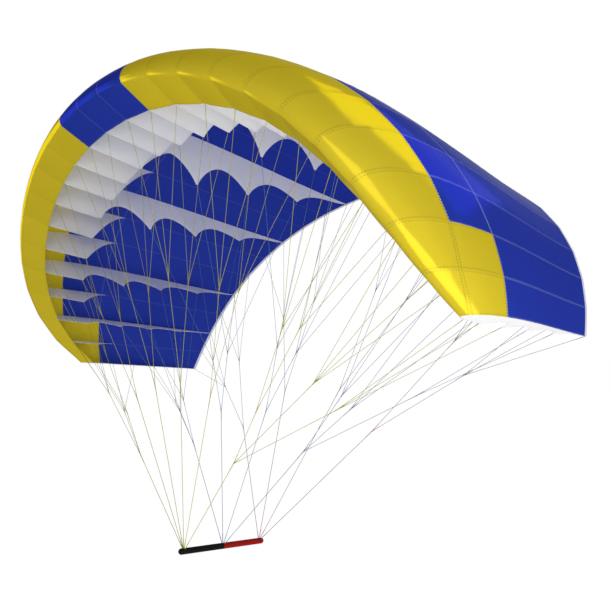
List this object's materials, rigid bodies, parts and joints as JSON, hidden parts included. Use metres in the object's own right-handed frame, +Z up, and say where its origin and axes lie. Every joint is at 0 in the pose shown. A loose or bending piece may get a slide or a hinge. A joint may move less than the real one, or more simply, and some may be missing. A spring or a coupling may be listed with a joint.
{
  "type": "parawing",
  "caption": "Hand-held single-skin kite wing in its arched flying shape, with scalloped ribs, a fan of bridle lines and a short straight bar that the flyer grips.",
  "frame": {"origin": "the middle of the bar, where the flyer's hands hold it", "axes": "+X along the span, +Y from the nose back to the trailing edge and along the bar from its black end to its red end, +Z up from the bar to the wing"},
  "size_m": [2.5276, 1.6222, 1.7986],
  "materials": {
    "yellow_cloth": "smooth coated ripstop cloth with a soft sheen",
    "blue_cloth": "smooth coated ripstop cloth with a soft sheen",
    "white_cloth": "matt coated rib cloth",
    "white_tape": "woven binding tape",
    "bar_black": "matt grip",
    "bar_red": "matt grip",
    "line_yellow": "thin braided line",
    "line_blue": "thin braided line",
    "line_red": "thin braided line"
  },
  "bodies": {
    "root": {"front_left": "yellow_cloth", "front_centre": "blue_cloth", "front_right": "yellow_cloth", "middle_tip_left": "yellow_cloth", "middle_centre": "blue_cloth", "middle_tip_right": "yellow_cloth", "rear": "blue_cloth", "tail_tape": "white_tape", "rib_01": "white_cloth", "rib_02": "white_cloth", "rib_03": "white_cloth", "rib_04": "white_cloth", "rib_05": "white_cloth", "rib_06": "white_cloth", "rib_07": "white_cloth", "rib_08": "white_cloth", "rib_09": "white_cloth", "rib_10": "white_cloth", "rib_11": "white_cloth", "rib_12": "white_cloth", "rib_13": "white_cloth", "rib_14": "white_cloth", "rib_15": "white_cloth", "rib_16": "white_cloth", "rib_17": "white_cloth", "rib_18": "white_cloth", "rib_19": "white_cloth", "rib_20": "white_cloth", "rib_21": "white_cloth", "rib_22": "white_cloth", "rib_23": "white_cloth", "rib_24": "white_cloth", "bar_front": "bar_black", "bar_rear": "bar_red", "lines_front_inner_left": "line_yellow", "lines_front_inner_right": "line_yellow", "lines_front_middle_left": "line_yellow", "lines_front_middle_right": "line_yellow", "lines_front_outer_left": "line_yellow", "lines_front_outer_right": "line_yellow", "lines_centre_inner_left": "line_blue", "lines_centre_inner_right": "line_blue", "lines_centre_outer_left": "line_blue", "lines_centre_outer_right": "line_blue", "lines_rear_inner_left": "line_red", "lines_rear_inner_right": "line_red", "lines_rear_outer_left": "line_red", "lines_rear_outer_right": "line_red"}
  },
  "joints": []
}
